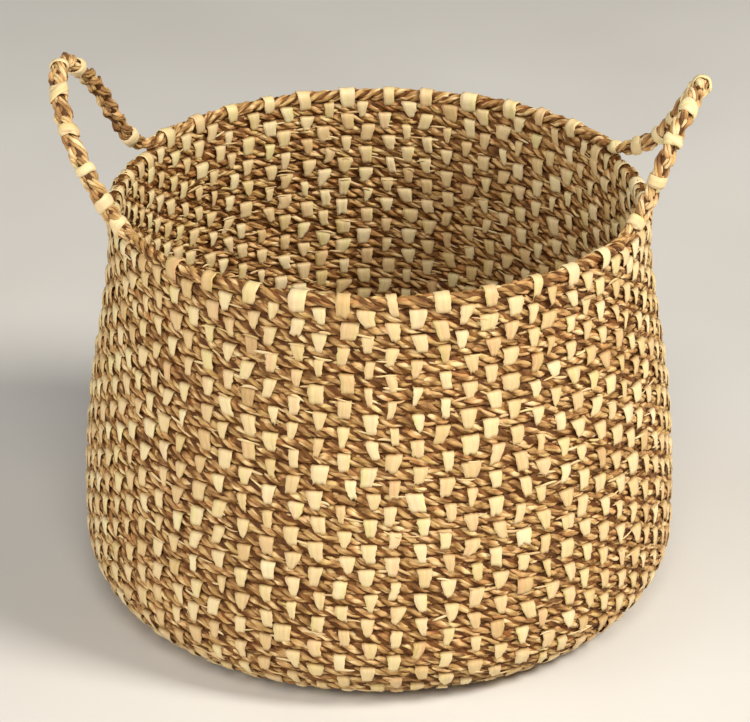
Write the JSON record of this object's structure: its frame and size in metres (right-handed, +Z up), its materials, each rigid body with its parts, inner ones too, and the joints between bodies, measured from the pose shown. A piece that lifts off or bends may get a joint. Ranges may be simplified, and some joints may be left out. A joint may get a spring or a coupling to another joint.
{
  "type": "coiled storage basket",
  "caption": "Round open storage basket of coiled seagrass rope stitched with pale palm leaf, wider at the foot than at the rim, with a flexible rope hand loop at each side.",
  "frame": {"origin": "middle of the flat underside of the base, on the floor that the basket stands on", "axes": "+Z up through the open top; +X through the right hand loop, -X through the left one; -Y is the front"},
  "size_m": [0.4244, 0.4, 0.3785],
  "materials": {
    "seagrass_rope": "matt twisted dry grass",
    "handle_rope": "matt plaited dry grass",
    "palm_leaf": "smooth pale dry leaf, slightly silky"
  },
  "bodies": {
    "basket": {"base_coil_start": "seagrass_rope", "base_coil_01": "seagrass_rope", "base_coil_02": "seagrass_rope", "base_coil_03": "seagrass_rope", "base_coil_04": "seagrass_rope", "base_coil_05": "seagrass_rope", "base_coil_06": "seagrass_rope", "base_coil_07": "seagrass_rope", "base_coil_08": "seagrass_rope", "base_coil_09": "seagrass_rope", "base_coil_10": "seagrass_rope", "base_coil_11": "seagrass_rope", "base_coil_12": "seagrass_rope", "base_coil_13": "seagrass_rope", "base_coil_14": "seagrass_rope", "base_coil_15": "seagrass_rope", "base_coil_16": "seagrass_rope", "corner_coil_01": "seagrass_rope", "corner_coil_02": "seagrass_rope", "corner_coil_03": "seagrass_rope", "corner_coil_04": "seagrass_rope", "corner_coil_05": "seagrass_rope", "corner_coil_06": "seagrass_rope", "corner_coil_07": "seagrass_rope", "wall_coil_01": "seagrass_rope", "wall_coil_02": "seagrass_rope", "wall_coil_03": "seagrass_rope", "wall_coil_04": "seagrass_rope", "wall_coil_05": "seagrass_rope", "wall_coil_06": "seagrass_rope", "wall_coil_07": "seagrass_rope", "wall_coil_08": "seagrass_rope", "wall_coil_09": "seagrass_rope", "wall_coil_10": "seagrass_rope", "wall_coil_11": "seagrass_rope", "wall_coil_12": "seagrass_rope", "wall_coil_13": "seagrass_rope", "wall_coil_14": "seagrass_rope", "wall_coil_15": "seagrass_rope", "wall_coil_16": "seagrass_rope", "wall_coil_17": "seagrass_rope", "wall_coil_18": "seagrass_rope", "wall_coil_19": "seagrass_rope", "wall_coil_20": "seagrass_rope", "wall_coil_21": "seagrass_rope", "wall_coil_22": "seagrass_rope", "wall_coil_23": "seagrass_rope", "wall_coil_24": "seagrass_rope", "wall_coil_25": "seagrass_rope", "wall_coil_26": "seagrass_rope", "wall_coil_27": "seagrass_rope", "rim_coil_front": "seagrass_rope", "rim_coil_back": "seagrass_rope"},
    "left_handle": {"left_handle_loop": "handle_rope", "left_handle_front_wrap": "palm_leaf", "left_handle_back_wrap": "palm_leaf"},
    "right_handle": {"right_handle_loop": "handle_rope", "right_handle_front_wrap": "palm_leaf", "right_handle_back_wrap": "palm_leaf"}
  },
  "joints": [
    {"name": "left_handle_flex", "type": "hinge", "parent": "basket", "child": "left_handle", "pos_m": [-0.17, -0.00525, 0.295], "axis": [0, 1, 0], "range_deg": [-45, 75], "stiffness_Nm_per_rad": 0.3},
    {"name": "right_handle_flex", "type": "hinge", "parent": "basket", "child": "right_handle", "pos_m": [0.1715, -0.0035, 0.291], "axis": [-0.0684, -0.9958, 0.0608], "range_deg": [-45, 75], "stiffness_Nm_per_rad": 0.3}
  ]
}
